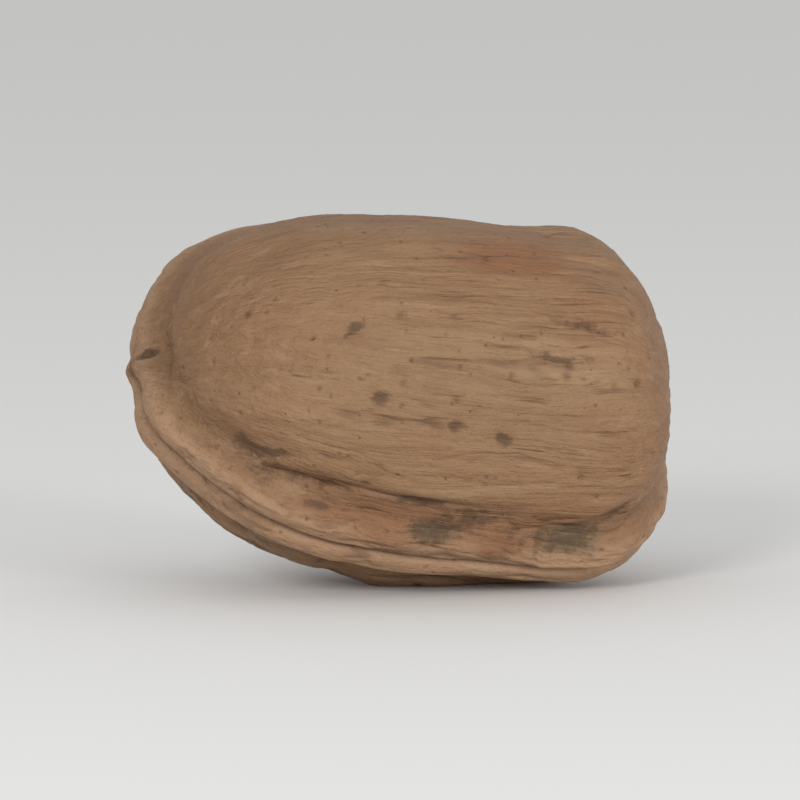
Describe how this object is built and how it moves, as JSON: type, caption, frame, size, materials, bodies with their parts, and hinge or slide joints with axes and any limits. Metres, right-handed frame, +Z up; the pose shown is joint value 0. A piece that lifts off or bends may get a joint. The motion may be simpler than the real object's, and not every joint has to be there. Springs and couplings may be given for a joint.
{
  "type": "walnut",
  "caption": "Whole dried walnut in its wrinkled shell, lying on its side, with a raised seam running lengthwise around it and a short point at one end.",
  "frame": {"origin": "on the surface that the nut lies on, under the middle of the nut's bounding box", "axes": "+X along the nut's long axis, away from its point; +Z up, away from the flat spot that it lies on; the seam's plane holds the long axis and is rolled 36 degrees about it from upright, so that the seam's lower edge faces -Y"},
  "size_m": [0.043, 0.029, 0.0288],
  "materials": {
    "walnut_shell": "dry, finely wrinkled, matt"
  },
  "bodies": {
    "root": {"walnut": "walnut_shell"}
  },
  "joints": []
}
